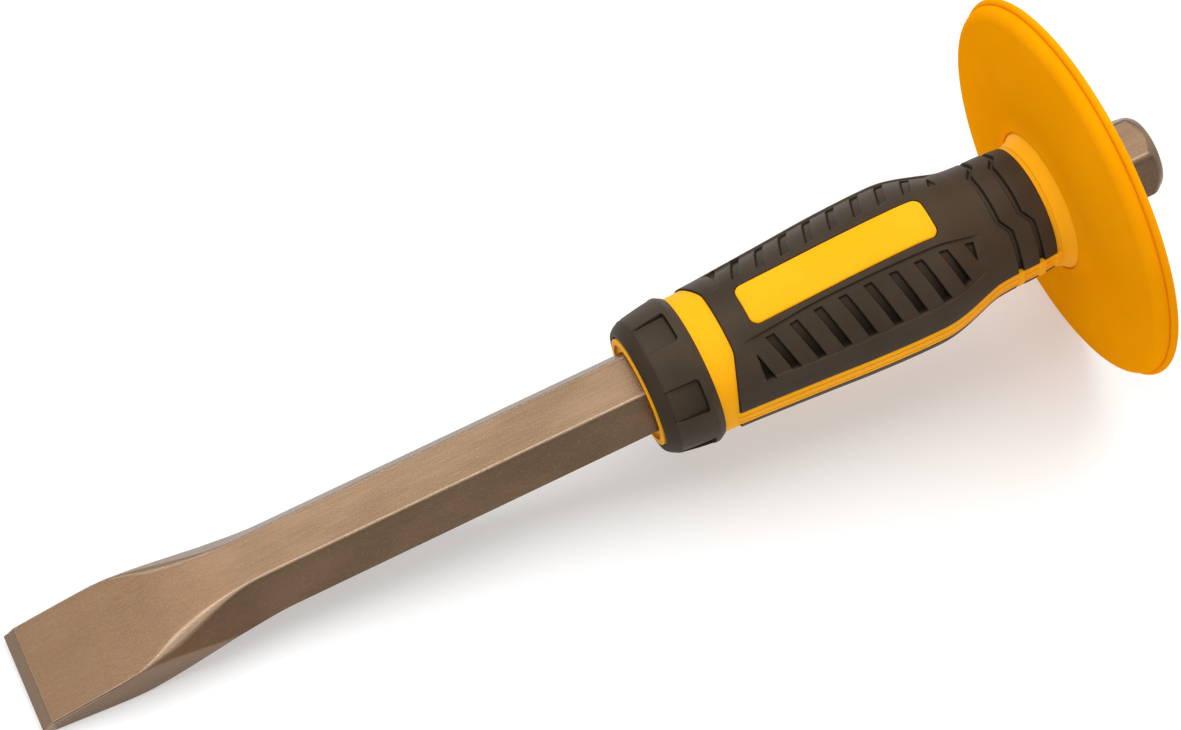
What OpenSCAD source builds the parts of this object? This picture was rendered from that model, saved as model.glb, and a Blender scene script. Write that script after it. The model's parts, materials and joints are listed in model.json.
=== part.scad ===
// Cold chisel with a push-on safety grip, in millimetres.
// Every sub-part is drawn along the tool's own axis: X runs from the cutting edge to the
// striking head, the blade's wide faces and one pair of hexagon flats face +Z and -Z.
// rest_on_bench() then lays it down on a bench, on the heel of its bevel and the rim of its guard.

/* [Bar] */
// Length from the cutting edge to the striking face
bar_len = 287; // [270:1:310]
// Across flats of the hexagonal bar
across_flats = 19; // [18:0.5:20]
// Width of the blade
blade_w = 25.4; // [24:0.1:28]
// Length of the sharpened bevel
bevel_len = 2.7; // [2:0.1:4]
// Half thickness of the blade where the bevel starts
bevel_half_t = 2.1; // [1.5:0.1:2.5]
// Slope of each wide face of the blade
blade_slope = 0.16; // [0.14:0.01:0.16]
// Where the forged blade has become the plain hexagonal bar
forged_len = 66; // [62:1:72]
// Radius to which the six corners of the bar are broken
bar_corner_r = 10.8; // [10.5:0.1:10.9]
// Radius of the round striking face
striking_r = 8.3; // [7:0.1:9]
// Length of the cone that breaks the head's corners
head_cone_len = 3.2; // [2:0.1:5]

/* [Grip] */
// Front edge of the yellow core's lip, measured from the cutting edge
core_front_x = 152.9; // [152:0.1:154.5]
// Clearance between the bar's flats and the grip's hexagonal bore, each side
bore_gap = 0.1; // [0.05:0.05:0.3]
// Outer radius of the core inside the front collar
core_nose_r = 14; // [13.5:0.1:14.5]
// Rear edge of the front collar
collar_rear_x = 167.3; // [166:0.1:169]
// Front edge of the overmould on its top and bottom
overmould_front_x = 174.2; // [173:0.1:176]
// Front edge of the overmould beside the seams
overmould_side_x = 170.9; // [169:0.1:172]
// Rear edge of the overmould
overmould_rear_x = 254.6; // [253:0.1:256]
// Thickness of the overmould
overmould_t = 2.2; // [1.8:0.1:2.4]
// Grip radius at the front edge of the overmould
swell_front_r = 17.6; // [17:0.1:18]
// Grip radius at the widest place
swell_r = 20.2; // [19.5:0.1:21]
// Widest place of the grip
swell_x = 222; // [218:1:226]
// Grip radius at the waist ahead of the guard
waist_r = 16; // [15.8:0.1:16.5]
// Where the waist starts
waist_x = 242.5; // [240:0.5:245]
// Half width of the seam between the two overmould panels
seam_half = 2.8; // [2:0.1:3.5]

/* [Label window and treads] */
// Front end of the label window
label_front_x = 180.6; // [179:0.1:183]
// Length of the label window
label_len = 47.9; // [44:0.1:50]
// Width of the label window
label_w = 10.9; // [9:0.1:12]
// Corner radius of the label window
label_corner_r = 2.3; // [1:0.1:3]
// Number of slots in each tread
slot_count = 8; // [4:1:8]
// Distance from one slot to the next
slot_pitch = 6.3; // [6:0.1:6.4]
// Width of a slot
slot_w = 2; // [1.5:0.1:2.4]
// Depth of a slot
slot_depth = 0.8; // [0.5:0.1:1.1]
// Length of a slot around the grip
slot_len = 10; // [8:0.1:10.5]
// Angle by which the slots lean along the grip
slot_lean = 18.5; // [10:0.5:25]

/* [Guard] */
// Outer radius of the guard
guard_r = 48.3; // [46:0.1:50]
// Centre of the bead round the rim, measured from the cutting edge
rim_x = 265.9; // [265.5:0.1:266.2]
// Radius of the bead round the rim
rim_bead_r = 0.9; // [0.8:0.1:1]
// Radius of the rounded shoulder between the guard's front face and its rim
shoulder_r = 3.2; // [2.5:0.1:3.5]
// Thickness of the guard's disc
guard_t = 3; // [2.4:0.1:3.6]
// Radius of the guard's bore on the core
guard_bore_r = 15.2; // [14.5:0.1:15.4]

/* [Hidden] */
$fn = 96;

// Half of the thin flat that is left on the cutting edge
edge_half_t = 0.15;
// How much narrower the blade's sides are at the wide faces than at half height
side_draft = 0.1;
bar_side = across_flats / sqrt(3);
// Half of what is left of each flat between its two broken corners
flat_half = sqrt(pow(bar_corner_r, 2) - pow(across_flats / 2, 2));
corner_cut = bar_side / 2 - flat_half;

// Stations along the blade at which its outline changes
face_start_x = 19;
face_end_x = 57;
side_end_x = 50;
taper_start_x = 42;
taper_end_x = 62;
ground_start_x = 16;
ground_end_x = 34;
ground_loss = 0.35;
forged_steps = 24;
soft_corner = 1.4;

// Grip lengths that follow from the driving dimensions
collar_front_x = core_front_x + 0.4;
lip_wall = 2;
lip_depth = 0.8;
lip_chamfer = 0.6;
band_front_r = 17;
band_rear_r = 17.15;
hub_x = 259.2;
hub_r = 17.5;
neck_r = waist_r - 0.5;
core_rear_x = 269;
pad_proud = 0.1;
groove_w = 1.4;
groove_depth = 0.7;
groove_step = 2;
groove_step_angle = 26;
groove_front_x = [242.8, 248.5];
tread_angle = 42;
slot_front_x = 184.6;
pocket_count = 6;
pocket_first_angle = 12;
pocket_half_angle = 14.2;
pocket_front_x = 156.3;
pocket_rear_x = 164.3;
pocket_floor_r = [16.3, 17.2];

// The guard's front face bends back by face_drop between the hub and the shoulder
rim_r = guard_r - rim_bead_r;
face_start_r = hub_r;
face_end_r = guard_r - 1.1 - shoulder_r;
face_front_x = hub_x;
shoulder_x = rim_x - 0.9;
face_drop = shoulder_x - shoulder_r - face_front_x;

// How far the tool leans when it rests on the heel of its bevel and its rim
heel_to_rim = [rim_x - bevel_len, rim_r - bevel_half_t];
lean = atan2(heel_to_rim[1], heel_to_rim[0]) + asin(rim_bead_r / norm(heel_to_rim));
heel_drop = bevel_half_t * cos(lean) - bevel_len * sin(lean);
box_back_x = bar_len * cos(lean) + striking_r * sin(lean);
box_front_x = -edge_half_t * sin(lean);
big = 200;

steel = [0.62, 0.47, 0.35];
yellow = [1.0, 0.72, 0.12];
rubber = [0.27, 0.24, 0.22];

function smooth(a, b, x) = let (t = max(0, min(1, (x - a) / (b - a)))) t * t * (3 - 2 * t);
function soft_min(a, b, k) = min(a, b) - pow(max(k - abs(a - b), 0), 2) / (4 * k);

// Lays a sub-part down from the tool's own axis to the bench, with the origin under its middle
module rest_on_bench() {
    translate([-(box_back_x + box_front_x) / 2, 0, heel_drop])
        rotate([0, -lean, 0])
            children();
}

// Turns an outline of [distance along the axis, radius] points into a solid of revolution
module turned(outline) {
    rotate([90, 0, 90])
        rotate_extrude()
            polygon([for (p = outline) [p[1], p[0]]]);
}

// Half thickness of the forged end at distance x, thin at the bevel and full at the bar
function blade_half_t(x) =
    x < bevel_len
        ? edge_half_t + (bevel_half_t - edge_half_t) * x / bevel_len
        : soft_min(bevel_half_t + blade_slope * (x - bevel_len), across_flats / 2, 2.6);

// Half width of the flat wide face
function face_half_w(x) =
    blade_w / 2 + (bar_side / 2 - blade_w / 2) * smooth(face_start_x, face_end_x, x);

// Half width over the sides
function side_half_w(x) =
    let (ground = ground_loss * smooth(ground_start_x, ground_end_x, x),
         bar_half_w = bar_side - corner_cut / 2,
         fall = blade_w / 2 - ground_loss - bar_half_w)
    blade_w / 2 - ground - fall * smooth(taper_start_x, taper_end_x, x);

// Half height of the upright part of the sides, which fades to the bar's broken corner
function side_half_t(x) =
    let (end = corner_cut * sqrt(3) / 2, t = blade_half_t(x))
    max(end * min(1, t), (t - 2 * corner_size(x)) * (1 - smooth(face_start_x, side_end_x, x)));

// Size of the cut corner between a wide face and a side
function corner_size(x) =
    min(0.3 * blade_half_t(x),
        corner_cut + soft_corner * smooth(8, 28, x) * (1 - smooth(28, face_end_x, x)));

// The twelve corners of the forged end's section at distance x
function forged_ring(x) =
    let (f = min(face_half_w(x), side_half_w(x) - side_draft),
         h = blade_half_t(x),
         w = side_half_w(x),
         g = side_half_t(x),
         c = corner_size(x),
         u = [w - f, g - h] / norm([w - f, g - h]),
         q = [[w, g], [f, h] + c * u, [f - c, h]])
    [for (i = [0:2]) [x, q[i][0], q[i][1]],
     for (i = [2:-1:0]) [x, -q[i][0], q[i][1]],
     for (i = [0:2]) [x, -q[i][0], -q[i][1]],
     for (i = [2:-1:0]) [x, q[i][0], -q[i][1]]];

module forged_blade() {
    stations = [0, for (i = [0:forged_steps]) bevel_len + (forged_len - bevel_len) * i / forged_steps];
    last = len(stations) - 1;
    polyhedron(
        points = [for (x = stations) each forged_ring(x)],
        faces = [
            [for (j = [0:11]) j],
            [for (j = [11:-1:0]) last * 12 + j],
            for (i = [0:last - 1], j = [0:11])
                let (a = i * 12 + j, b = i * 12 + (j + 1) % 12)
                each [[a, a + 12, b + 12], [a, b + 12, b]]
        ]);
}

// The plain hexagonal bar, whose section is the one at which the forged blade ends
module hex_shank() {
    translate([forged_len, 0, 0])
        rotate([90, 0, 90])
            linear_extrude(bar_len - forged_len)
                polygon([for (p = forged_ring(forged_len)) [p[1], p[2]]]);
}

module head_limit() {
    cone_r = across_flats / sqrt(3) + 1;
    cone_x = bar_len - head_cone_len * (cone_r - striking_r) / (bar_corner_r - striking_r);
    turned([[forged_len - 1, 0], [forged_len - 1, cone_r], [cone_x, cone_r],
            [bar_len, striking_r], [bar_len, 0]]);
}

module chisel_bar() {
    color(steel)
        rest_on_bench() {
            forged_blade();
            intersection() {
                hex_shank();
                head_limit();
            }
        }
}

// Outer radius of the overmould at distance x
function grip_r(x) =
    x < swell_x
        ? swell_r - (swell_r - swell_front_r) * pow((swell_x - x) / (swell_x - overmould_front_x), 1.45)
    : x < waist_x
        ? swell_r - (swell_r - waist_r) * smooth(swell_x, waist_x, x)
        : waist_r - (waist_r - neck_r) * (x - waist_x) / (overmould_rear_x - waist_x);

swell_points = [for (i = [0:16]) overmould_side_x + (waist_x - overmould_side_x) * i / 16,
                overmould_rear_x];

// The grip's swollen outline, raised or sunk by offset_r
function swell_outline(offset_r) = [for (x = swell_points) [x, grip_r(x) + offset_r]];

// The same outline, started a little further forward, for panels that are trimmed to length
function panel_outline(offset_r) =
    [[overmould_side_x - 1, grip_r(overmould_side_x) + offset_r], each swell_outline(offset_r)];

function reversed(list) = [for (i = [len(list) - 1:-1:0]) list[i]];

module swell_solid(offset_r) {
    turned(concat([[overmould_side_x, 0]], swell_outline(offset_r), [[overmould_rear_x, 0]]));
}

// Half of the overmould's shell, above the seams
module half_shell() {
    intersection() {
        turned(concat(panel_outline(0), reversed(panel_outline(-overmould_t))));
        translate([0, -big / 2, seam_half])
            cube([big * 2, big, big]);
    }
}

// Everything ahead of the overmould's front edge, seen from above
module ahead_of_overmould() {
    edge_y = swell_front_r * sin(28);
    linear_extrude(big, center = true)
        polygon([[0, -big], [0, big], [overmould_side_x, big], [overmould_side_x, hub_r],
                 [overmould_front_x, edge_y], [overmould_front_x, -edge_y],
                 [overmould_side_x, -hub_r], [overmould_side_x, -big]]);
}

// A rounded rectangle that runs right through the grip, for both labels
module label_prism() {
    r = label_corner_r;
    linear_extrude(big, center = true)
        translate([label_front_x, -label_w / 2]) {
            translate([r, 0])
                square([label_len - 2 * r, label_w]);
            translate([0, r])
                square([label_len, label_w - 2 * r]);
            for (x = [r, label_len - r], y = [r, label_w - r])
                translate([x, y])
                    circle(r);
        }
}

// The gap between the two panels
module seam_slab() {
    translate([0, -big / 2, -seam_half])
        cube([big * 2, big, 2 * seam_half]);
}

module hex_bore() {
    bore_af = across_flats + 2 * bore_gap;
    translate([core_front_x - 1, 0, 0])
        rotate([90, 0, 90])
            cylinder(h = core_rear_x - core_front_x + 2, r = bore_af / sqrt(3), $fn = 6);
}

module grip_core() {
    color(yellow)
        rest_on_bench()
            difference() {
                union() {
                    turned([[core_front_x + lip_depth, 0],
                            [core_front_x + lip_depth, core_nose_r - lip_wall],
                            [core_front_x, core_nose_r - lip_wall],
                            [core_front_x, core_nose_r - lip_chamfer],
                            [core_front_x + lip_chamfer, core_nose_r], [collar_rear_x, core_nose_r],
                            [collar_rear_x, swell_front_r - overmould_t - 0.4],
                            [overmould_side_x, grip_r(overmould_side_x) - overmould_t],
                            [overmould_side_x, 0]]);
                    intersection() {
                        turned([[collar_rear_x, 0], [collar_rear_x, band_front_r],
                                [overmould_front_x, band_rear_r], [overmould_front_x, 0]]);
                        ahead_of_overmould();
                    }
                    swell_solid(-overmould_t);
                    intersection() {
                        swell_solid(pad_proud);
                        union() {
                            label_prism();
                            seam_slab();
                        }
                    }
                    turned([[overmould_rear_x, 0], [overmould_rear_x, neck_r],
                            [overmould_rear_x + 1.8, neck_r + 0.2],
                            [hub_x - 1, hub_r - 0.8], [hub_x, hub_r], [hub_x, guard_bore_r],
                            [core_rear_x - 0.6, guard_bore_r], [core_rear_x, guard_bore_r - 0.6],
                            [core_rear_x, 0]]);
                }
                hex_bore();
            }
}

// The zigzag path of a waist groove seen from above: one edge of it, for positive and negative Y
function groove_edge(x) =
    let (near = waist_r * sin(groove_step_angle), far = near + 1.8)
    [[x + groove_step, -big], [x + groove_step, -far], [x, -near],
     [x, near], [x + groove_step, far], [x + groove_step, big]];

module waist_groove(x) {
    difference() {
        linear_extrude(big)
            polygon(concat(groove_edge(x - groove_w / 2), reversed(groove_edge(x + groove_w / 2))));
        rotate([0, 90, 0])
            cylinder(h = big * 2, r = waist_r - groove_depth);
    }
}

// The slots of one tread, which lie square to the surface at tread_angle from the label
module tread_slots(side) {
    for (i = [0:slot_count - 1]) {
        x = slot_front_x + i * slot_pitch;
        rotate([side * tread_angle, 0, 0])
            translate([x, 0, grip_r(x) - slot_depth])
                rotate([0, 0, side * slot_lean])
                    translate([-slot_w / 2, -slot_len / 2, 0])
                        cube([slot_w, slot_len, 6]);
    }
}

module upper_panel() {
    difference() {
        half_shell();
        ahead_of_overmould();
        label_prism();
        for (x = groove_front_x)
            waist_groove(x);
        for (side = [-1, 1])
            tread_slots(side);
    }
}

module upper_overmould() {
    color(rubber)
        rest_on_bench()
            upper_panel();
}

module lower_overmould() {
    color(rubber)
        rest_on_bench()
            rotate([180, 0, 0])
                upper_panel();
}

// Six shallow finger pockets, which deepen towards the rear of the collar
module collar_pockets() {
    intersection() {
        turned([[pocket_front_x, pocket_floor_r[0]], [pocket_front_x, swell_r],
                [pocket_rear_x, swell_r], [pocket_rear_x, pocket_floor_r[1]]]);
        for (i = [0:pocket_count - 1])
            rotate([pocket_first_angle + i * 360 / pocket_count, 0, 0])
                translate([pocket_front_x, 0, 0])
                    rotate([90, 0, 90])
                        linear_extrude(pocket_rear_x - pocket_front_x)
                            polygon([[0, 0], swell_r * 1.3 * [sin(pocket_half_angle), cos(pocket_half_angle)],
                                     swell_r * 1.3 * [-sin(pocket_half_angle), cos(pocket_half_angle)]]);
    }
}

module front_collar() {
    color(rubber)
        rest_on_bench()
            difference() {
                turned([[collar_front_x, core_nose_r], [collar_front_x, core_nose_r + 0.9],
                        [collar_front_x + 0.5, core_nose_r + 1.6], [pocket_front_x - 0.1, 16.8],
                        [pocket_rear_x, 18.2], [collar_rear_x - 2, 18.2], [collar_rear_x - 0.4, 17.4],
                        [collar_rear_x, band_front_r], [collar_rear_x, core_nose_r]]);
                collar_pockets();
            }
}

// Distance of the guard's front face from the cutting edge, at radius r
function face_x(r) =
    face_front_x + face_drop * pow((r - face_start_r) / (face_end_r - face_start_r), 1.6);

module guard_disc() {
    face_steps = 6;
    shoulder_steps = 6;
    face = [for (i = [0:face_steps])
                let (r = face_start_r + (face_end_r - face_start_r) * i / face_steps)
                [face_x(r), r]];
    shoulder = [for (i = [1:shoulder_steps])
                    let (a = 90 * i / shoulder_steps)
                    [shoulder_x - shoulder_r * cos(a), face_end_r + shoulder_r * sin(a)]];
    back = [for (i = [4:-1:0])
                let (r = 21 + (face_end_r - 21) * i / 4)
                [face_x(r) + guard_t, r]];
    turned(concat(
        [[hub_x, 0]], face, shoulder,
        [[rim_x, rim_r], [rim_x + rim_bead_r * 0.8, rim_r - 0.4]], back,
        [[core_rear_x - 1.2, 18.6], [core_rear_x - 0.6, 18], [core_rear_x - 0.6, 0]]));
}

module hand_guard() {
    color(yellow)
        rest_on_bench()
            difference() {
                union() {
                    guard_disc();
                    translate([rim_x, 0, 0])
                        rotate([0, 90, 0])
                            rotate_extrude()
                                translate([rim_r, 0])
                                    circle(rim_bead_r);
                }
                translate([hub_x - 1, 0, 0])
                    rotate([0, 90, 0])
                        cylinder(h = core_rear_x - hub_x + 2, r = guard_bore_r);
            }
}

chisel_bar();
grip_core();
front_collar();
upper_overmould();
lower_overmould();
hand_guard();
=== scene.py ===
"""A cold chisel with a guarded grip, lying on a pale studio floor.

Every piece is modelled in millimetres in the tool's own frame: X from the cutting edge to the striking
head, Z square to the blade's wide faces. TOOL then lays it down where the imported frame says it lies.
"""

import json
import math

import bmesh
import bpy
import numpy as np
from mathutils import Matrix, Vector


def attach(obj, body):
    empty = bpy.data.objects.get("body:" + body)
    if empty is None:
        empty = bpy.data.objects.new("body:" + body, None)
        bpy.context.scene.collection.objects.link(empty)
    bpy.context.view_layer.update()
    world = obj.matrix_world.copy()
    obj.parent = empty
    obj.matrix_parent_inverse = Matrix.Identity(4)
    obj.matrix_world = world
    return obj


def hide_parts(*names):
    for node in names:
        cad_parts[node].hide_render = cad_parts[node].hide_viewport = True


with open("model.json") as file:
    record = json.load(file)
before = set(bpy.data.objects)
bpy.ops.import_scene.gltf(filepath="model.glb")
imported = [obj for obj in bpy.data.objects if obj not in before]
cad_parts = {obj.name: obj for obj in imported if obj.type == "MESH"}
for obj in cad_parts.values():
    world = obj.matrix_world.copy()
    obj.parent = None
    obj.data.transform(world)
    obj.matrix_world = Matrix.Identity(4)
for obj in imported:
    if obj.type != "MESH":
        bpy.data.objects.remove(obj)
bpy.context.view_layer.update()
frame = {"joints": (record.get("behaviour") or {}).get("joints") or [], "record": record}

MM = 0.001


# ---------------------------------------------------------------- the tool's own frame

def tool_matrix():
    """Places the tool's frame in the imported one, from the slide's axis and the cutting edge's mount."""
    mounts = {mount["name"]: mount for mount in frame["record"]["mounts"]}
    along = Vector(frame["joints"][0]["axis"]).normalized()
    across = Vector((0, 1, 0))
    up = along.cross(across)
    turn = Matrix((along, across, up)).transposed().to_4x4()
    return Matrix.Translation(Vector(mounts["cutting_edge"]["pos_m"])) @ turn


TOOL = tool_matrix()


# ---------------------------------------------------------------- small mathematics

def smooth(a, b, x):
    """0 before a, 1 after b, and a smooth step between them."""
    t = np.clip((np.asarray(x, float) - a) / (b - a), 0, 1)
    return t * t * (3 - 2 * t)


def soft_min(a, b, k):
    return np.minimum(a, b) - np.maximum(k - np.abs(a - b), 0) ** 2 / (4 * k)


def curve(x, points):
    """A smooth curve through (x, value) points, by monotone cubics."""
    px, py = np.array(points, float).T
    slope = np.diff(py) / np.diff(px)
    tangent = np.concatenate([slope[:1], (slope[1:] + slope[:-1]) / 2, slope[-1:]])
    turning = np.concatenate([[False], slope[1:] * slope[:-1] <= 0, [False]])
    tangent[turning] = 0
    x = np.clip(np.asarray(x, float), px[0], px[-1])
    i = np.clip(np.searchsorted(px, x) - 1, 0, len(px) - 2)
    h = px[i + 1] - px[i]
    t = (x - px[i]) / h
    return ((2 * t**3 - 3 * t**2 + 1) * py[i] + (t**3 - 2 * t**2 + t) * h * tangent[i]
            + (3 * t**2 - 2 * t**3) * py[i + 1] + (t**3 - t**2) * h * tangent[i + 1])


def rounded_edge(distance, radius):
    """How far a rounded edge of that radius has dropped, at a distance inside the edge."""
    d = np.clip(distance, 0, radius)
    return radius - np.sqrt(np.maximum(radius**2 - (radius - d) ** 2, 0))


# ---------------------------------------------------------------- meshes

def add_piece(name, vertices, faces, body, sharp_angle):
    """Links a mesh given in millimetres in the tool's frame, and makes it ride on a body."""
    mesh = bpy.data.meshes.new(name)
    mesh.from_pydata((np.asarray(vertices) * MM).tolist(), [], [list(map(int, f)) for f in faces])
    mesh.transform(TOOL)
    mesh.validate()
    solid = bmesh.new()
    solid.from_mesh(mesh)
    bmesh.ops.recalc_face_normals(solid, faces=solid.faces)
    solid.to_mesh(mesh)
    solid.free()
    mesh.shade_smooth()
    mesh.set_sharp_from_angle(angle=math.radians(sharp_angle))
    piece = bpy.data.objects.new(name, mesh)
    bpy.context.scene.collection.objects.link(piece)
    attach(piece, body)
    return piece


def add_attribute(piece, name, values):
    """Gives a piece's vertices a value for its material. Vertices past the end of the list get 0."""
    filled = np.zeros(len(piece.data.vertices), np.float32)
    filled[:len(values)] = values
    piece.data.attributes.new(name, "FLOAT", "POINT").data.foreach_set("value", filled)


def grid_faces(rows, columns, wrap=False, start=0):
    """Quads over a grid of vertices stored row by row. wrap joins the last column to the first."""
    last = columns if wrap else columns - 1
    i, j = np.meshgrid(np.arange(rows - 1), np.arange(last), indexing="ij")
    k = (j + 1) % columns
    quads = np.stack([i * columns + j, (i + 1) * columns + j, (i + 1) * columns + k, i * columns + k], -1)
    return (quads.reshape(-1, 4) + start).tolist()


def closed_grid_faces(rows, columns):
    """Quads over a grid whose last row joins the first, and whose last column joins the first."""
    last = (rows - 1) * columns
    closing = [[last + j, j, (j + 1) % columns, last + (j + 1) % columns] for j in range(columns)]
    return grid_faces(rows, columns, wrap=True) + closing


def polar(x, radius, angle):
    """Points around the tool's axis. angle is in degrees from +Z towards -Y."""
    a = np.radians(angle)
    return np.stack(np.broadcast_arrays(x, -radius * np.sin(a), radius * np.cos(a)), -1)


def ring_solid(sections):
    """Vertices and faces of a tube of closed sections (rows, points, 3) whose two ends are closed."""
    rows, count = sections.shape[:2]
    vertices = sections.reshape(-1, 3).tolist()
    faces = grid_faces(rows, count, wrap=True)
    faces.append(list(range(count)))
    faces.append(list(range((rows - 1) * count, rows * count))[::-1])
    return vertices, faces


def turned(outline, steps):
    """A ring of revolution from a closed outline of (x, radius) points."""
    outline = np.array(outline, float)
    angle = np.arange(steps) * 360 / steps
    points = polar(outline[:, None, 0], outline[:, None, 1], angle[None, :])
    return points.reshape(-1, 3), closed_grid_faces(len(outline), steps)


def round_rows(outline, angle):
    """A row of (x, radius, angle) around the axis for each (x, radius) point of an outline."""
    return [np.column_stack([np.full((len(angle), 2), point), angle]) for point in outline]


def arc(centre, radius, start, end, steps):
    """Points (x, radius) on an arc about a centre, between two angles in degrees from +X."""
    a = np.radians(np.linspace(start, end, steps + 1))
    return [(centre[0] + radius * math.cos(t), centre[1] + radius * math.sin(t)) for t in a]


# ---------------------------------------------------------------- the forged bar

ACROSS_FLATS = 19
HEX_SIDE = ACROSS_FLATS / math.sqrt(3)
BAR_LEN = 287
BLADE_W = 25.4
# The bevel's length, half the blade's thickness at its two ends, and the slope of the faces behind it
BEVEL_LEN = 2.7
BEVEL_HALF_T = 2.1
EDGE_HALF_T = 0.12
BLADE_SLOPE = 0.16
# What is ground off each side of the blade, and the least radius and chamfer of the bar's corners
SIDE_GRIND = 0.35
CORNER_R = 0.35
CORNER_CHAMFER = 0.3
# Stretches over which the blade's sides are ground, its width, faces and sides draw in to the hexagon,
# its corners grow soft and crisp again, and they take on the radii of plain bar
GRIND_X = (16, 34)
WIDTH_X = (42, 62)
FACE_X = (19, 57)
SIDE_X = (20, 50)
SOFTEN_X = (14, 30)
CRISPEN_X = (36, 58)
PLAIN_CORNER_X = (48, 60)
# Stretch over which the bar's corners grow rounder towards the head, and by how much
HEAD_ROUNDING_X = (255, 266)
HEAD_ROUNDING = 0.9
# The head: where its shaping starts, its cone's length and rise, and the striking face's radius, the
# round at its rim and how far it lies inside that
HEAD_FROM_X = 275
HEAD_CONE = (3.6, 2.8)
STRIKING_R = 8.3
STRIKING_ROUND = 0.6
STRIKING_DISH = 0.05


def bar_corners(x):
    """Corners of the bar's section at x in the quarter where y and z are positive, and their radii."""
    half_t = soft_min(BEVEL_HALF_T + BLADE_SLOPE * (x - BEVEL_LEN), ACROSS_FLATS / 2, 2.6)
    half_t = np.minimum(half_t, EDGE_HALF_T + (BEVEL_HALF_T - EDGE_HALF_T) * x / BEVEL_LEN)
    ground = SIDE_GRIND * smooth(*GRIND_X, x)
    side = BLADE_W / 2 - ground - (BLADE_W / 2 - SIDE_GRIND - HEX_SIDE) * smooth(*WIDTH_X, x)
    chamfer = np.minimum(CORNER_CHAMFER, 0.3 * half_t)
    face = np.minimum(BLADE_W / 2 + (HEX_SIDE / 2 - BLADE_W / 2) * smooth(*FACE_X, x), side - chamfer)
    side_t = (half_t - chamfer) * (1 - smooth(*SIDE_X, x))
    soft = smooth(*SOFTEN_X, x) * (1 - smooth(*CRISPEN_X, x))
    at_head = HEAD_ROUNDING * smooth(*HEAD_ROUNDING_X, x)
    face_r = CORNER_R + 0.45 * smooth(*PLAIN_CORNER_X, x) + 3.2 * soft + at_head
    side_r = CORNER_R + 0.4 * smooth(*PLAIN_CORNER_X, x) + 2 * soft + at_head
    return half_t, face, side, side_t, face_r, side_r


def rounded_ring(corners, radii, flats, arc_steps):
    """A closed section through corners, each rounded by its radius, with each flat cut into a few steps."""
    corners = np.array(corners, float)
    count = len(corners)
    starts = []
    ends = []
    for i in range(count):
        before, here, after = corners[i - 1], corners[i], corners[(i + 1) % count]
        u, v = here - before, after - here
        lu, lv = np.linalg.norm(u), np.linalg.norm(v)
        if lu < 1e-6 or lv < 1e-6:
            starts.append(here)
            ends.append(here)
            continue
        turn = math.acos(float(np.clip(u @ v / lu / lv, -1, 1)))
        cut = min(radii[i] * math.tan(turn / 2), 0.45 * lu, 0.45 * lv)
        starts.append(here - u / lu * cut)
        ends.append(here + v / lv * cut)
    t = np.linspace(0, 1, arc_steps + 1)[:, None]
    ring = []
    for i in range(count):
        ring.extend((1 - t) ** 2 * starts[i] + 2 * t * (1 - t) * corners[i] + t**2 * ends[i])
        following = starts[(i + 1) % count]
        steps = flats[i]
        ring.extend(ends[i] + (following - ends[i]) * k / steps for k in range(1, steps))
    return np.array(ring)


# Steps round each corner of the bar's section, and along the flat after each corner
SECTION_ARC = 6
SECTION_FLATS = [10, 16, 10, 6] * 2


def bar_section(x):
    """The bar's closed section at x, as (y, z) points from the +Y side over the top."""
    half_t, face, side, side_t, face_r, side_r = (float(v) for v in bar_corners(np.float64(x)))
    quarter = [(side, side_t), (face, half_t)]
    radii = [side_r, face_r]
    corners = quarter + [(-y, z) for y, z in quarter[::-1]]
    corners += [(-y, -z) for y, z in corners]
    return rounded_ring(corners, (radii + radii[::-1]) * 2, SECTION_FLATS, SECTION_ARC)


def corner_wear_and_highlight(x):
    """How far each point of the section at x is lightened at a corner, partly worn bare metal and partly a
    painted highlight, from 0 to 1.
    """
    on_arc = np.sin(np.radians(np.linspace(0, 180, SECTION_ARC + 1))) ** 0.5
    wear_and_highlight = (1 - 0.5 * smooth(*HEAD_ROUNDING_X, x)) * smooth(BAR_LEN - 2.4, BAR_LEN - 3.2, x)
    on_side = 1 - 0.9 * smooth(12, 20, x) * smooth(62, 56, x)
    # Painted highlight over real wear along the corners, weaker on the blade's sides
    weights = [wear_and_highlight * on_side, wear_and_highlight, wear_and_highlight, wear_and_highlight * on_side] * 2
    return np.concatenate([np.append(weight * on_arc, np.zeros(steps - 1))
                           for weight, steps in zip(weights, SECTION_FLATS)])


def head_radius(x):
    """The cone that breaks the corners of the head, and the small round at the striking face."""
    length, rise = HEAD_CONE
    cone = STRIKING_R + (BAR_LEN - x) * rise / length
    into = np.clip(STRIKING_ROUND - (BAR_LEN - x), 0, STRIKING_ROUND)
    return cone - (STRIKING_ROUND - np.sqrt(STRIKING_ROUND**2 - into**2)) * 0.8


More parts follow.
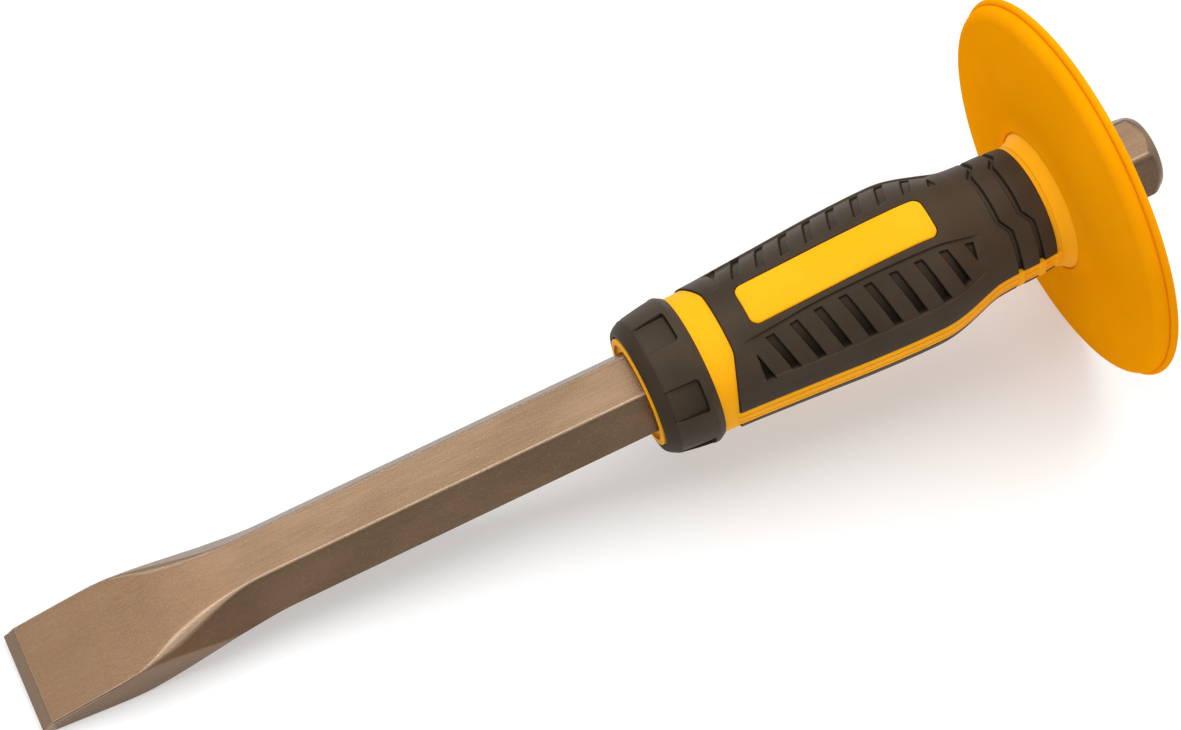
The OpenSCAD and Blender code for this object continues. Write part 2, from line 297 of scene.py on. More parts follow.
def make_bar():
    stations = [0, 0.06, *np.linspace(0.3, 2.5, 6), 2.64, 2.76, 2.9, *np.arange(3.4, 70, 0.7),
                *np.arange(72, 279, 3), *np.arange(280, BAR_LEN - STRIKING_ROUND, 0.12),
                *(BAR_LEN - STRIKING_ROUND * (1 - np.sin(np.radians([15, 30, 45, 60, 75, 90]))))]
    sections = []
    corner = []
    for x in stations:
        ring = bar_section(x)
        corner.append(corner_wear_and_highlight(x))
        if x > HEAD_FROM_X:
            radius = np.linalg.norm(ring, axis=1)
            ring *= (soft_min(radius, head_radius(x), 0.6) / radius)[:, None]
        sections.append(np.column_stack([np.full(len(ring), x), ring]))
    # The striking face: rings towards its middle, sunk by a hair inside its rim
    rim = sections[-1]
    for k in (0.97, 0.9, 0.75, 0.55, 0.35, 0.15):
        inner = rim.copy()
        inner[:, 1:] *= k
        inner[:, 0] = BAR_LEN - STRIKING_DISH * smooth(1, 0.9, k)
        sections.append(inner)
    vertices, faces = ring_solid(np.array(sections))
    bar = add_piece("forged_bar", vertices, faces, "bar", sharp_angle=32)
    # Corner lightening for the steel's colour: worn metal and a painted highlight
    add_attribute(bar, "corner", np.concatenate(corner))
    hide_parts("chisel_bar")
    return bar


# ---------------------------------------------------------------- the grip's shared outline

COLLAR_REAR_X = 167.3
# Front edge of the panels over their middle and beside the seams, their rear edge and their thickness
PANEL_FRONT_X = 174.2
PANEL_SIDE_X = 170.9
PANEL_REAR_X = 254.6
PANEL_T = 2.2
HUB_X = 259.2
HUB_R = 17.5
SEAM_HALF = 2.8
# Outer radius of the panels along the tool
GRIP_OUTLINE = [(170, 17.45), (174.2, 17.65), (184.5, 18.3), (195, 19), (205, 19.7), (216, 20.15),
                (221, 20.2), (225, 20), (229, 19.2), (233, 18), (238.5, 16.4), (242.5, 16), (250, 15.8),
                (PANEL_REAR_X, 15.4)]
# The label window's ends, half width, corner radius and depth
WINDOW_X = (180.6, 228.5)
WINDOW_HALF_W = 5.45
WINDOW_CORNER_R = 2.2
WINDOW_DEPTH = 1.5


def grip_radius(x):
    return curve(x, GRIP_OUTLINE)


def window_distance(x, y):
    """Distance inside the label window's rounded outline, seen from above. It is negative outside."""
    middle, half_len = (WINDOW_X[0] + WINDOW_X[1]) / 2, (WINDOW_X[1] - WINDOW_X[0]) / 2
    dx = np.abs(x - middle) - (half_len - WINDOW_CORNER_R)
    dy = np.abs(y) - (WINDOW_HALF_W - WINDOW_CORNER_R)
    outside = np.hypot(np.maximum(dx, 0), np.maximum(dy, 0))
    return WINDOW_CORNER_R - outside - np.minimum(np.maximum(dx, dy), 0)


# ---------------------------------------------------------------- the overmoulded panels

# Angles, in degrees from the label's middle, of the lines that bound each tread
RIDGE_UP = [(170, 27), (178.6, 24.3), (186, 22.6), (194, 20.6), (203, 20), (214, 20.1), (222, 20.7),
            (228, 21.7), (235, 25.5), (245, 30)]
RIDGE_LOW = 63
TREAD_X = (176, 238)
TREAD_DEPTH = 0.62
MM_PER_DEGREE = 0.33
# The slots: the first full one's place, their pitch, half width, lean and wall, and the stretch they fill
SLOT_FIRST_X = 183.1
SLOT_PITCH = 6.34
SLOT_HALF_W = 1.08
SLOT_LEAN = 0.3
SLOT_WALL = 0.18
SLOTS_X = (178.8, 235.4)
# The grooves round the waist step back by GROOVE_STEP between the two angles of GROOVE_TURN
GROOVES_X = (242.7, 248.35)
GROOVE_HALF_W = 0.7
GROOVE_STEP = 2
GROOVE_DEPTH = 0.95
GROOVE_TURN = (25, 37)
NUBS_X = (*(x + GROOVE_STEP for x in GROOVES_X), PANEL_REAR_X + 0.3)


def ridge_low(x):
    """Angle of the tread's lower bound, which draws in towards both of its ends."""
    return RIDGE_LOW - 4 * smooth(229, TREAD_X[1], x) - 3 * smooth(195, 178, x)


def slot_place(x, angle):
    """Distance inside the nearest slot's outline, and from the wall that its floor dips towards."""
    around = np.abs(angle)
    along = x - SLOT_LEAN * MM_PER_DEGREE * (around - 26.5)
    nearest = np.clip(np.round((along - SLOT_FIRST_X) / SLOT_PITCH), -1, 8)
    off = along - SLOT_FIRST_X - nearest * SLOT_PITCH
    label_end = (around - curve(x, RIDGE_UP) - 5) * MM_PER_DEGREE
    outer_end = (RIDGE_LOW - 2.7 - 1.3 * np.maximum(x - 229, 0) - around) * MM_PER_DEGREE
    front_end = x - SLOTS_X[0]
    rear_end = SLOTS_X[1] - 0.035 * (around - 30) - x
    inside = SLOT_HALF_W - np.abs(off)
    for limit in (label_end, outer_end, front_end, rear_end):
        inside = np.minimum(inside, limit)
    dips_to = SLOT_HALF_W - off * np.sign(angle)
    ends = np.where(angle > 0, label_end, outer_end)
    return inside, np.minimum(dips_to, ends)


def slot_depth(x, angle):
    """Depth of the tread's slots, which lean back. Each floor dips a little to one side."""
    inside, from_wall = slot_place(x, angle)
    floor = np.where(angle > 0, 0.55 + 0.95 * smooth(24, 58, np.abs(angle)), 0.6)
    dip = 1 - 0.2 * np.clip(from_wall / (2 * SLOT_HALF_W), 0, 1)
    return floor * dip * smooth(0, SLOT_WALL, inside)


def tread_recess(x, angle):
    """Depth of the sunken field that the slots lie in."""
    upper = (angle - curve(x, RIDGE_UP)) * MM_PER_DEGREE
    lower = (ridge_low(x) - angle) * MM_PER_DEGREE
    ends = smooth(TREAD_X[0], TREAD_X[0] + 4, x) * smooth(TREAD_X[1], TREAD_X[1] - 3.5, x)
    return TREAD_DEPTH * smooth(0, 0.4, upper) * smooth(0, 1.1, lower) * ends


def groove_inside(x, angle):
    """Distance inside the nearer of the two grooves round the waist, which step back towards the seams."""
    step = GROOVE_STEP * np.clip((angle - GROOVE_TURN[0]) / (GROOVE_TURN[1] - GROOVE_TURN[0]), 0, 1)
    return GROOVE_HALF_W - np.minimum(np.abs(x - GROOVES_X[0] - step), np.abs(x - GROOVES_X[1] - step))


def groove_depth(x, angle):
    return GROOVE_DEPTH * smooth(0, 0.22, groove_inside(x, angle))


def panel_front(angle):
    """Front edge of a panel: square to the tool over its middle, and swept forward beside the seams."""
    y = 17.5 * np.sin(np.radians(angle))
    sweep = -soft_min(-np.clip((y - 8.3) / 9, -1, 1), 0, 0.12)
    return PANEL_FRONT_X + (PANEL_SIDE_X - PANEL_FRONT_X) * sweep


def panel_grid():
    """Stations and angles of the panel's surface, with lines along the window, treads and edges."""
    rows = np.linspace(PANEL_FRONT_X, PANEL_REAR_X, 401)
    cells = (16, 8, 58, 28)
    breaks = np.concatenate([[0], np.cumsum(cells)])
    guides = np.stack([
        np.zeros_like(rows),
        np.degrees(np.arcsin(WINDOW_HALF_W / grip_radius(rows))),
        curve(rows, RIDGE_UP),
        np.full_like(rows, RIDGE_LOW),
        90 - np.degrees(np.arcsin(SEAM_HALF / grip_radius(rows)))])
    columns = np.arange(sum(cells) + 1)
    half = np.array([np.interp(columns, breaks, guide) for guide in guides.T])
    angle = np.concatenate([-half[:, :0:-1], half], axis=1)
    lead = panel_front(np.abs(angle)) - PANEL_FRONT_X
    x = rows[:, None] + lead * (1 - smooth(PANEL_FRONT_X, PANEL_FRONT_X + 8, rows))[:, None]
    return x, angle


def panel_surface(x, angle):
    """Outer radius of a panel."""
    radius = grip_radius(x)
    y = radius * np.sin(np.radians(np.abs(angle)))
    seam_edge = radius * np.radians(90 - np.degrees(np.arcsin(SEAM_HALF / radius)) - np.abs(angle))
    inside = window_distance(x, y)
    drop = tread_recess(x, np.abs(angle)) + slot_depth(x, angle) + groove_depth(x, np.abs(angle))
    drop = drop + rounded_edge(seam_edge, 0.35) + rounded_edge(PANEL_REAR_X - x, 0.35)
    drop = drop + rounded_edge(x - panel_front(np.abs(angle)), 0.3)
    drop = drop + np.where(inside > 0, WINDOW_DEPTH * smooth(0, 0.2, inside), rounded_edge(-inside, 0.22))
    return radius - drop


def bump_at(distance, middle, half_width):
    """1 at a distance from a line, and a smooth fall to 0 at half_width to each side of that."""
    return smooth(half_width, 0, np.abs(distance - middle))


def panel_painted_shade(x, angle):
    """Painted shade on a panel's colour: on the slots' floors, in the creases at walls and edges, and along
    its low side.
    """
    around = np.abs(angle)
    inside, from_wall = slot_place(x, angle)
    floor = smooth(0, SLOT_WALL, inside)
    depth = np.where(angle > 0, 0.5 + 0.3 * smooth(28, 56, around), 0.4)
    groove = groove_inside(x, around)
    window = window_distance(x, grip_radius(x) * np.sin(np.radians(around)))
    # Painted shade on the slots' floors and at the walls their floors dip towards
    painted_shade = floor * depth + (inside > 0) * smooth(0.42, 0.12, from_wall)
    painted_shade = painted_shade + np.where(angle > 0, 0.7, 0) * bump_at(inside, 0.1, 0.2)
    low_edge = (ridge_low(x) - 0.6 - angle) * MM_PER_DEGREE
    painted_shade = painted_shade + 0.6 * bump_at(low_edge, 0.6, 0.4) * smooth(178, 182, x) * smooth(239, 235, x)
    painted_shade = painted_shade + bump_at(groove, 0.14, 0.22) + 0.3 * smooth(0.1, 0.3, groove) * smooth(15, 70, around)
    painted_shade = painted_shade + bump_at(window, -0.05, 0.2) + 0.9 * smooth(0.3, 0.05, x - panel_front(around))
    up_edge = (around - curve(x, RIDGE_UP)) * MM_PER_DEGREE
    painted_shade = painted_shade + bump_at(up_edge, 0.2, 0.25) * smooth(178, 182, x) * smooth(237, 234, x)
    # Painted shade along the panel's low side
    painted_shade = painted_shade + 0.3 * smooth(RIDGE_LOW, RIDGE_LOW + 9, around)
    return np.clip(painted_shade + smooth(0.3, 0.1, PANEL_REAR_X - x), 0, 1)


def solid_from_grid(outer, inner, row_step, column_step):
    """A closed solid from an outer grid of points and every few rows and columns of an inner one."""
    rows, columns = outer.shape[:2]
    coarse = inner[::row_step, ::column_step]
    c_rows, c_columns = coarse.shape[:2]
    base = rows * columns
    vertices = np.concatenate([outer.reshape(-1, 3), coarse.reshape(-1, 3)])
    faces = grid_faces(rows, columns)
    faces += [face[::-1] for face in grid_faces(c_rows, c_columns, start=base)]
    for i in range(c_rows - 1):
        fine = [r * columns for r in range(i * row_step, (i + 1) * row_step + 1)]
        low, high = base + i * c_columns, base + (i + 1) * c_columns
        faces.append([low, high, *fine[::-1]])
        faces.append([high + c_columns - 1, low + c_columns - 1, *[v + columns - 1 for v in fine]])
    for j in range(c_columns - 1):
        fine = list(range(j * column_step, (j + 1) * column_step + 1))
        last, last_fine = base + (c_rows - 1) * c_columns, (rows - 1) * columns
        faces.append([base + j + 1, base + j, *fine])
        faces.append([last + j, last + j + 1, *[last_fine + v for v in fine[::-1]]])
    return vertices, faces


def make_panels():
    x, angle = panel_grid()
    outer = polar(x, panel_surface(x, angle), angle)
    inner = polar(x, grip_radius(x) - PANEL_T, angle)
    vertices, faces = solid_from_grid(outer, inner, 8, 4)
    # Painted shade for the rubber's colour
    painted_shade = panel_painted_shade(x, angle).ravel()
    made = []
    for name, node, turn in (("panel_top", "upper_overmould", 1), ("panel_bottom", "lower_overmould", -1)):
        panel = add_piece(name, vertices * (1, turn, turn), faces, "grip", sharp_angle=50)
        add_attribute(panel, "painted_shade", painted_shade)
        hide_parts(node)
        made.append(panel)
    return made


# ---------------------------------------------------------------- the front collar

# Outer radius of the collar along the tool
COLLAR_OUTLINE = [(153.72, 15.38), (154.3, 15.84), (155.2, 16.36), (155.9, 16.73), (156.3, 16.93),
                  (158, 17.28), (160, 17.63), (162, 17.93), (164, 18.16), (165.2, 18.2)]
# The pads: how many, the first one's middle and half angle, their rear end, corners and walls
PAD_COUNT = 6
PAD_MIDDLE = -12
PAD_HALF_ANGLE = 14.25
PAD_REAR_X = 164.3
PAD_CORNER_R = 0.9
PAD_WALL = 0.18
PAD_MM_PER_DEGREE = 0.31
COLLAR_RIM_CENTRE = (154.25, 14.5)
COLLAR_RIM_R = 1
# Painted shade over the collar's nose and front shoulder
SHOULDER_PAINTED_SHADE = 0.45
CORE_NOSE_R = 14


def pad_depth(x, angle):
    """Depth of the pads, deepest at their rear, and a painted shade that grows towards the foot of their
    walls.
    """
    pitch = 360 / PAD_COUNT
    off = (angle - PAD_MIDDLE + pitch / 2) % pitch - pitch / 2
    inside = (PAD_HALF_ANGLE - np.abs(off)) * PAD_MM_PER_DEGREE
    dx, dy = PAD_CORNER_R - (PAD_REAR_X - x), PAD_CORNER_R - inside
    square = np.minimum(PAD_REAR_X - x, inside)
    rounded = np.where((dx > 0) & (dy > 0), PAD_CORNER_R - np.hypot(dx, dy), square)
    floor = 0.38 + 0.65 * smooth(155, 165, x)
    painted_crease = smooth(0.4, 0.12, rounded) * (rounded > 0) * smooth(156, 158, x)
    return floor * smooth(0, PAD_WALL, rounded) * smooth(155.9, 156.3, x), painted_crease


def make_collar():
    steps = 960
    outer_x = np.linspace(COLLAR_OUTLINE[0][0], COLLAR_OUTLINE[-1][0], 110)
    angle = np.arange(steps) * 360 / steps
    bore_r = CORE_NOSE_R - 0.1
    rim = arc(COLLAR_RIM_CENTRE, COLLAR_RIM_R, 255, 123, 14)[:-1]
    nose = [(COLLAR_REAR_X - 1, bore_r), (155.2, bore_r), (154.9, CORE_NOSE_R - 0.45), *rim]
    rows = round_rows(nose, angle)
    radius = curve(outer_x, COLLAR_OUTLINE)
    # The nose and rim take the shoulder's painted shade
    painted_shade = [np.full(steps, SHOULDER_PAINTED_SHADE)] * len(rows)
    for x, r in zip(outer_x, radius):
        depth, painted_crease = pad_depth(np.float64(x), angle)
        rows.append(np.column_stack([np.full(steps, x), r - depth, angle]))
        # Painted shade: the front shoulder, the pads' floors by their depth, and the creases at their walls
        shoulder = SHOULDER_PAINTED_SHADE * (1 - smooth(156, 156.6, x))
        painted_shade.append(np.clip(shoulder + 0.4 * np.clip(depth, 0, 1) + painted_crease, 0, 1))
    rear = [(165.45, 18.14), (165.7, 18.02), (166.9, 17.35), (167.15, 17.15), (COLLAR_REAR_X, 16.9),
            (COLLAR_REAR_X, 15), (COLLAR_REAR_X - 0.5, 14)]
    rows = np.array(rows + round_rows(rear, angle))
    points = polar(rows[..., 0], rows[..., 1], rows[..., 2])
    faces = closed_grid_faces(len(rows), steps)
    collar = add_piece("collar", points.reshape(-1, 3), faces, "grip", sharp_angle=50)
    add_attribute(collar, "painted_shade", np.concatenate(painted_shade))
    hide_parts("front_collar")
    return collar


# ---------------------------------------------------------------- the yellow core

BORE_GAP = 0.1
LIP_FRONT_X = 152.9
LIP_INNER_R = 11.9
RECESS_X = 153.7
CORE_REAR_X = 269
GUARD_BORE_R = 15.2


def make_core():
    """The hard core: its lip, band and flared hub show, and the rest is under the panels."""
    steps = 360
    angle = np.arange(steps) * 360 / steps
    hex_r = (ACROSS_FLATS / 2 + BORE_GAP) / np.cos(np.radians((angle + 30) % 60 - 30))
    under = [(x, float(grip_radius(x)) - PANEL_T - 0.1) for x in np.linspace(175, 254, 28)]
    outline = [(RECESS_X, 11.6), (RECESS_X, LIP_INNER_R - 0.3), (RECESS_X - 0.3, LIP_INNER_R),
               *arc((LIP_FRONT_X + 0.12, LIP_INNER_R + 0.12), 0.12, 270, 180, 4), (LIP_FRONT_X, 12.9),
               *arc((LIP_FRONT_X + 0.3, 13.1), 0.3, 175, 90, 6), (154.6, 13.4), (155.3, 13.8), (160, 13.6),
               (166.6, 13.6), (166.9, 15), (166.9, 16.5),
               *arc((167.3, 16.5), 0.4, 180, 90, 4)[1:], (168.5, 16.94), (171, 17.02), (174.6, 17.1),
               (174.8, 15.3), *under, (254.2, 13.4), (254.2, 14.7), (255.3, 14.85), (255.6, 15.0),
               (255.75, 15.35), (256, 15.5), (256.8, 15.78), (257.6, 16.16), (258.2, 16.56),
               (258.7, 16.97), (259, 17.3), (HUB_X + 0.02, HUB_R - 0.02), (HUB_X + 0.2, HUB_R),
               (HUB_X + 0.35, HUB_R - 0.2), (HUB_X + 0.35, GUARD_BORE_R), (268.4, GUARD_BORE_R),
               *arc((268.4, GUARD_BORE_R - 0.6), 0.6, 90, 0, 4)[1:], (CORE_REAR_X, 12)]
    rows = round_rows(outline, angle)
    mouth = 0.3
    bore = ((CORE_REAR_X, mouth), (CORE_REAR_X - mouth, 0), (RECESS_X + mouth, 0), (RECESS_X, mouth))
    for x, extra in bore:
        rows.append(np.column_stack([np.full(steps, x), hex_r + extra, angle]))
    rows = np.array(rows)
    points = polar(rows[..., 0], rows[..., 1], rows[..., 2])
    faces = closed_grid_faces(len(rows), steps)
    core = add_piece("core", points.reshape(-1, 3), faces, "grip", sharp_angle=35)
    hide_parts("grip_core")
    return core


def make_label_pad(name, turn):
    """The yellow field that fills a panel's window."""
    gap = 0.12
    half_len = (WINDOW_X[1] - WINDOW_X[0]) / 2 - gap
    middle = (WINDOW_X[0] + WINDOW_X[1]) / 2
    r = WINDOW_CORNER_R - gap
    ends = half_len - r + r * np.sin(np.radians(np.linspace(0, 90, 25)))
    along = np.concatenate([-ends[::-1], np.linspace(-half_len + r, half_len - r, 73)[1:-1], ends])
    across = np.sin(np.radians(np.linspace(-90, 90, 49)))
    over = np.maximum(np.abs(along) - (half_len - r), 0)
    half_w = WINDOW_HALF_W - gap - r + np.sqrt(np.maximum(r**2 - over**2, 0))
    x = np.repeat((middle + along)[:, None], len(across), 1)
    y = half_w[:, None] * across
    radius = grip_radius(x) + 0.12 - rounded_edge(window_distance(x, y) - gap, 0.45)
    outer = np.stack([x, y, np.sqrt(radius**2 - y**2)], -1)
    deep = grip_radius(x) - 2.3
    inner = np.stack([x, y, np.sqrt(deep**2 - y**2)], -1)
    vertices, faces = solid_from_grid(outer, inner, 8, 6)
    faces = [face[::-1] for face in faces]
    pad = add_piece(name, vertices * (1, turn, turn), faces, "grip", sharp_angle=50)
    return pad


def make_seam_stripe(name, side):
    """The yellow stripe between the panels, with two fine lines along it and nubs at the grooves' ends."""
    x = np.linspace(PANEL_SIDE_X - 1.2, PANEL_REAR_X + 1.2, 345)
    z = SEAM_HALF * 0.98 * np.sin(np.radians(np.linspace(-90, 90, 65)))
    x, z = np.meshgrid(x, z, indexing="ij")
    lines = 0.35 * (1 - smooth(0.1, 0.32, np.abs(np.abs(z) - 1.2)))
    nubs = sum(smooth(0.95, 0.7, np.abs(x - nub_x)) for nub_x in NUBS_X)
    edge = rounded_edge(SEAM_HALF - np.abs(z), 0.4)
    front = 0.5 * smooth(PANEL_SIDE_X + 0.3, PANEL_SIDE_X - 0.9, x)
    radius = grip_radius(x) + 0.05 - lines * (1 - nubs) + 0.45 * nubs - edge - front
    outer = np.stack([x, side * np.sqrt(radius**2 - z**2), z * side], -1)
    deep = grip_radius(x) - 2.4
    inner = np.stack([x, side * np.sqrt(deep**2 - z**2), z * side], -1)
    vertices, faces = solid_from_grid(outer, inner, 8, 8)
    stripe = add_piece(name, vertices, faces, "grip", sharp_angle=50)
    return stripe


# ---------------------------------------------------------------- the hand guard

# The bead round the rim, and the rounded shoulder inside it
RIM_X = 265.9
RIM_R = 47.4
RIM_BEAD_R = 0.9
SHOULDER_X = 265
SHOULDER_R = 3.2
# Where the front face ends at the shoulder, where the fillet at the hub ends, and how far that rises
FACE_END_R = 44
FILLET_R = 23
FILLET_RISE = 0.8
GUARD_T = 3


def guard_face(r):
    """Distance of the guard's front face from the cutting edge at radius r."""
    flat = HUB_X + 0.25
    outwards = np.maximum(r - HUB_R, 0) / (FACE_END_R - HUB_R)
    return flat + (SHOULDER_X - SHOULDER_R - flat) * outwards**1.6


def make_guard():
    step = [(HUB_X + 0.35, 17.35), (HUB_X - 0.3, 17.42), (HUB_X - 0.5, 17.55), (HUB_X - 0.55, 17.75)]
    fillet = [(guard_face(r) - FILLET_RISE * ((FILLET_R - r) / (FILLET_R - 17.8)) ** 2.5, r)
              for r in np.linspace(18.1, FILLET_R, 14)]
    face = [(guard_face(r), r) for r in np.linspace(FILLET_R + 0.5, FACE_END_R, 44)]
    shoulder = arc((SHOULDER_X, FACE_END_R), SHOULDER_R, 180, 96, 20)[1:]
    groove = [(SHOULDER_X - 0.12, 47.12), (SHOULDER_X + 0.08, 47.0)]
    bead = arc((RIM_X, RIM_R), RIM_BEAD_R, 205, -40, 20)
    back = [(guard_face(r) + GUARD_T, r) for r in np.linspace(FACE_END_R + 1.5, 22, 34)]
    boss = [(guard_face(21) + GUARD_T + 0.1, 20.6), (263.4, 19.6), (264.6, 18.9), (267.4, 18.5),
            *arc((267.6, 17.9), 0.6, 90, 0, 4), (268.2, 16.2), *arc((267.8, 15.9), 0.4, 0, -90, 3)[1:],
            (264, GUARD_BORE_R), (HUB_X + 0.4, GUARD_BORE_R)]
    points, faces = turned([*step, *fillet, *face, *shoulder, *groove, *bead, *back, *boss], steps=384)
    guard = add_piece("guard", points, faces, "grip", sharp_angle=40)
    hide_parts("hand_guard")
    return guard


# ---------------------------------------------------------------- materials

class Shader:
    """A material's node tree, with short calls for the nodes used here."""

    def __init__(self, name, **settings):
        self.material = bpy.data.materials.new(name)
        self.material.use_nodes = True
        self.tree = self.material.node_tree
        self.surface = self.tree.nodes["Principled BSDF"]
        for socket, value in settings.items():
            self.surface.inputs[socket.replace("_", " ")].default_value = value
        to_tool = self.tree.nodes.new("ShaderNodeMapping")
        to_tool.inputs["Location"].default_value = TOOL.inverted().to_translation()
        to_tool.inputs["Rotation"].default_value = TOOL.inverted().to_euler()
        self.link(self.tree.nodes.new("ShaderNodeTexCoord").outputs["Object"], to_tool.inputs["Vector"])
        self.place = to_tool.outputs["Vector"]

    def link(self, source, target):
        self.tree.links.new(source, target)

    def scaled(self, scale):
        """The tool's own coordinates, in metres, times a scale for each axis."""
        node = self.tree.nodes.new("ShaderNodeMapping")
        node.inputs["Scale"].default_value = scale
        self.link(self.place, node.inputs["Vector"])
        return node.outputs["Vector"]

    def noise(self, scale, detail=3, roughness=0.55):
        node = self.tree.nodes.new("ShaderNodeTexNoise")
        node.inputs["Scale"].default_value = 1
        node.inputs["Detail"].default_value = detail
        node.inputs["Roughness"].default_value = roughness
        self.link(self.scaled(scale), node.inputs["Vector"])
        return node.outputs["Fac"]

    def ramp(self, value, start, end, low=0.0, high=1.0):
        node = self.tree.nodes.new("ShaderNodeMapRange")
        node.interpolation_type = "SMOOTHSTEP"
        for socket, number in zip(("From Min", "From Max", "To Min", "To Max"), (start, end, low, high)):
            node.inputs[socket].default_value = number
        self.link(value, node.inputs["Value"])
        return node.outputs["Result"]

    def maths(self, operation, a, b):
        node = self.tree.nodes.new("ShaderNodeMath")
        node.operation = operation
        for socket, value in zip(node.inputs, (a, b)):
            if isinstance(value, (int, float)):
                socket.default_value = value
            else:
                self.link(value, socket)
        return node.outputs["Value"]

    def mix(self, factor, a, b):
        """A colour between a and b."""
        node = self.tree.nodes.new("ShaderNodeMix")
        node.data_type = "RGBA"
        colours = [socket for socket in node.inputs if socket.type == "RGBA"]
        for socket, value in zip(colours, (a, b)):
            if isinstance(value, tuple):
                socket.default_value = (*value, 1)
            else:
                self.link(value, socket)
        self.link(factor, node.inputs["Factor"])
        return next(socket for socket in node.outputs if socket.type == "RGBA")

    def axis(self, index):
        node = self.tree.nodes.new("ShaderNodeSeparateXYZ")
        self.link(self.place, node.inputs["Vector"])
        return node.outputs[index]

    def attribute(self, name):
        node = self.tree.nodes.new("ShaderNodeAttribute")
        node.attribute_name = name
        return node.outputs["Fac"]

    def bump(self, *layers):
        """Stacks bump layers of (height, strength, distance in millimetres)."""
        normal = None
        for height, strength, distance in layers:
            node = self.tree.nodes.new("ShaderNodeBump")
            node.inputs["Strength"].default_value = strength
            node.inputs["Distance"].default_value = distance * MM
            self.link(height, node.inputs["Height"])
            if normal is not None:
                self.link(normal, node.inputs["Normal"])
            normal = node.outputs["Normal"]
        self.link(normal, self.surface.inputs["Normal"])


def bar_material():
    """Bronze-tinted lacquered steel: ground lengthwise on the blade, grained on the bar."""
    shader = Shader("bronze_steel", Metallic=1, Coat_Weight=0.13, Coat_Roughness=0.38)
    along = shader.axis(0)
    on_blade = shader.ramp(along, 0.062, 0.04)
    on_bevel = shader.ramp(along, 0.0031, 0.0026)
    scratches = shader.noise((60, 3500, 3500), 4, 0.65)
    streaks = shader.noise((40, 1400, 1400), 4, 0.6)
    grain = shader.noise((2100, 2100, 2100), 3, 0.65)
    cloud = shader.noise((45, 120, 120), 3)
    plain = shader.mix(shader.ramp(cloud, 0.35, 0.68), (0.16, 0.101, 0.059), (0.195, 0.125, 0.076))
    speckled = shader.mix(shader.ramp(grain, 0.52, 0.7, 0, 0.45), plain, (0.3, 0.215, 0.145))
    tinted = shader.mix(shader.ramp(streaks, 0.5, 0.7, 0, 0.6), plain, (0.25, 0.12, 0.05))
    ground = shader.mix(shader.ramp(streaks, 0.3, 0.6), tinted, (0.19, 0.112, 0.063))
    scratched = shader.mix(shader.ramp(scratches, 0.52, 0.7, 0, 0.4), ground, (0.34, 0.21, 0.125))
    blade = shader.mix(on_blade, speckled, scratched)
    bevel = shader.mix(on_bevel, blade, (0.29, 0.2, 0.14))
    # Corners lightened: worn bare metal and a painted highlight
    edged = shader.mix(shader.attribute("corner"), bevel, (0.42, 0.3, 0.21))
    shader.link(edged, shader.surface.inputs["Base Color"])
    rough = shader.maths("ADD", shader.ramp(scratches, 0.35, 0.7, 0.34, 0.46),
                         shader.ramp(grain, 0.3, 0.7, -0.03, 0.05))
    shader.link(rough, shader.surface.inputs["Roughness"])
    lengthwise = shader.maths("MULTIPLY", scratches, on_blade)
    rolled = shader.maths("MULTIPLY", grain, shader.ramp(along, 0.05, 0.08))
    shader.bump((lengthwise, 0.6, 0.06), (rolled, 0.8, 0.11))
    return shader.material


def yellow_material(name, colour, shade, gloss):
    """Satin moulded plastic with the faint grain of its mould."""
    shader = Shader(name, Roughness=0.5, Specular_IOR_Level=gloss, Specular_Tint=(1, 0.85, 0.5, 1))
    cloud = shader.noise((60, 60, 60), 3)
    mottled = shader.mix(shader.ramp(cloud, 0.3, 0.7), colour, shade)
    shader.link(mottled, shader.surface.inputs["Base Color"])
    skin = shader.noise((2600, 2600, 2600), 2)
    flow = shader.noise((35, 35, 35), 2)
    shader.link(shader.ramp(skin, 0.3, 0.7, 0.44, 0.54), shader.surface.inputs["Roughness"])
    shader.bump((skin, 0.25, 0.02), (flow, 0.2, 0.2))
    return shader.material


def rubber_material():
    """Warm grey overmould with a fine spark-eroded grain, and painted shade in its hollows and creases."""
    shader = Shader("grey_overmould", Specular_IOR_Level=0.17, Specular_Tint=(1, 0.78, 0.58, 1))
    cloud = shader.noise((70, 70, 70), 4)
    speck = shader.noise((3200, 3200, 3200), 2)
    base = shader.mix(shader.ramp(cloud, 0.3, 0.7), (0.04, 0.0285, 0.019), (0.053, 0.038, 0.0255))
    grained = shader.mix(shader.ramp(speck, 0.55, 0.75, 0, 0.4), base, (0.075, 0.056, 0.04))
    # Painted shade: the base colour darkens where this attribute is high, and the surface grows rougher
    painted_shade = shader.attribute("painted_shade")
    base_with_painted_shade = shader.mix(shader.ramp(painted_shade, 0.1, 1), grained, (0.012, 0.0085, 0.006))
    shader.link(base_with_painted_shade, shader.surface.inputs["Base Color"])
    rough = shader.maths("ADD", shader.ramp(cloud, 0.3, 0.7, 0.48, 0.55),
                         shader.ramp(painted_shade, 0.2, 1, 0, 0.4))
    shader.link(rough, shader.surface.inputs["Roughness"])
    shader.bump((speck, 0.35, 0.03), (cloud, 0.15, 0.15))
    return shader.material


# ---------------------------------------------------------------- studio

def make_floor():
    """A pale floor that gives off a little light of its own, so that it stays near white."""
    bpy.ops.mesh.primitive_grid_add(x_subdivisions=8, y_subdivisions=8, size=6, location=(0, 0, 0))
    floor = bpy.context.active_object
    floor.name = "studio_floor"
    shader = Shader("floor_paper", Base_Color=(0.6, 0.6, 0.6, 1), Roughness=0.85,
                    Emission_Color=(1, 1, 1, 1), Emission_Strength=0.36)
    floor.data.materials.append(shader.material)


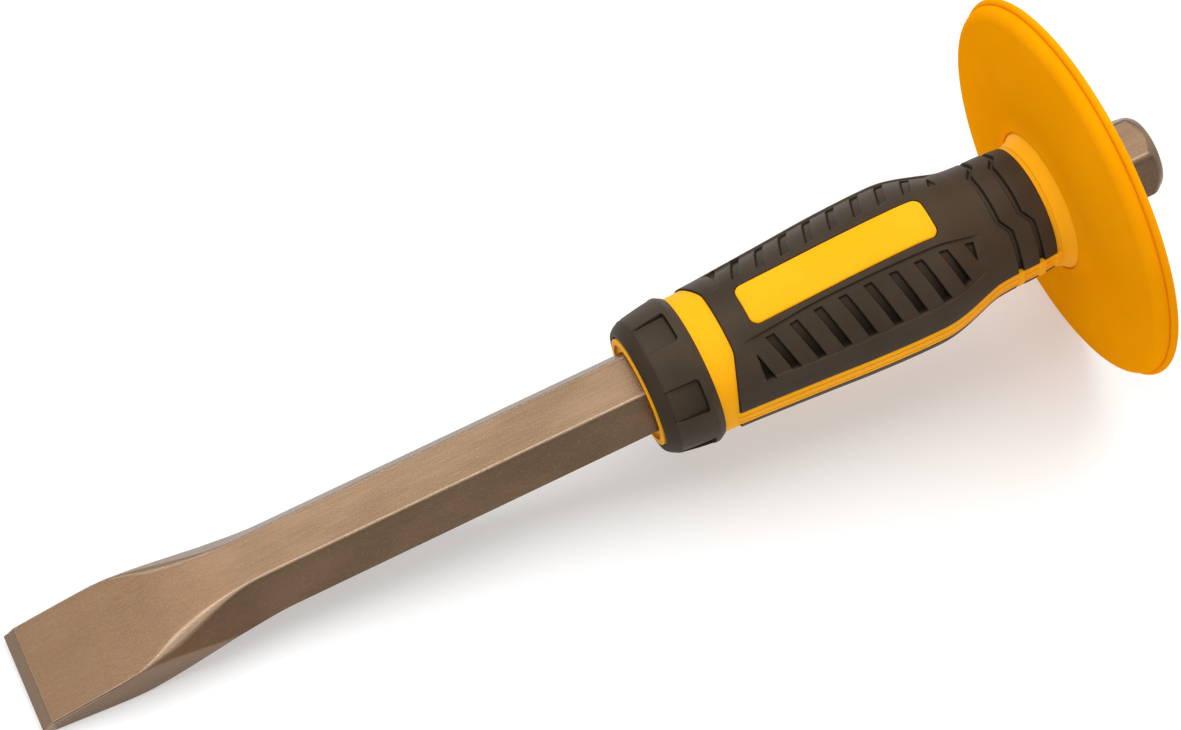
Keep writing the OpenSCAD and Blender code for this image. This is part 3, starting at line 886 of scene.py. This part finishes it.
def make_light(name, place, target, size, power, colour=(1, 1, 1)):
    data = bpy.data.lights.new(name, "AREA")
    data.shape = "RECTANGLE"
    data.size, data.size_y = size
    data.energy = power
    data.color = colour
    light = bpy.data.objects.new(name, data)
    bpy.context.scene.collection.objects.link(light)
    light.location = place
    light.rotation_mode = "QUATERNION"
    light.rotation_quaternion = (Vector(target) - Vector(place)).to_track_quat("-Z", "Y")


def make_lights():
    middle = (0, 0, 0.03)
    make_light("overhead_softbox", (0.05, 0.33, 1.25), middle, (2.3, 1.2), 24.5)
    make_light("side_softbox", (-1.2, 0, 0.5), middle, (0.8, 0.6), 1)
    make_light("front_softbox", (-0.2, -0.95, 1.05), middle, (1.4, 0.5), 3, (1, 0.92, 0.8))
    make_light("rear_softbox", (1.3, 0.25, 0.5), middle, (1.2, 0.7), 4)
    world = bpy.data.worlds.new("studio_world")
    world.use_nodes = True
    world.node_tree.nodes["Background"].inputs["Color"].default_value = (1, 1, 1, 1)
    world.node_tree.nodes["Background"].inputs["Strength"].default_value = 0.34
    bpy.context.scene.world = world
    bpy.context.scene.view_settings.view_transform = "Standard"


def make_camera():
    """The camera looks down on the tool from in front of its near side, rolled so that the tool rises."""
    place = Vector((-0.1861, -0.272, 0.5999))
    aim = Vector((0.0013, 0.0099, 0.03))
    roll = 8.9
    data = bpy.data.cameras.new("camera")
    data.sensor_width = 36
    data.lens = 87.84
    camera = bpy.data.objects.new("camera", data)
    bpy.context.scene.collection.objects.link(camera)
    camera.matrix_world = (Matrix.Translation(place)
                           @ (aim - place).to_track_quat("-Z", "Y").to_matrix().to_4x4()
                           @ Matrix.Rotation(math.radians(roll), 4, "Z"))
    bpy.context.scene.camera = camera


# ---------------------------------------------------------------- everything together

def main():
    make_camera()
    make_floor()
    make_lights()
    steel = bar_material()
    core_yellow = yellow_material("core_plastic", (0.95, 0.415, 0.008), (0.98, 0.44, 0.012), 0.04)
    guard_yellow = yellow_material("guard_plastic", (0.87, 0.318, 0.001), (0.91, 0.338, 0.002), 0)
    rubber = rubber_material()
    make_bar().data.materials.append(steel)
    make_core().data.materials.append(core_yellow)
    for name, turn in (("label_pad_top", 1), ("label_pad_bottom", -1)):
        make_label_pad(name, turn).data.materials.append(core_yellow)
    for name, side in (("seam_stripe_near", -1), ("seam_stripe_far", 1)):
        make_seam_stripe(name, side).data.materials.append(core_yellow)
    for panel in make_panels():
        panel.data.materials.append(rubber)
    make_collar().data.materials.append(rubber)
    make_guard().data.materials.append(guard_yellow)


main()
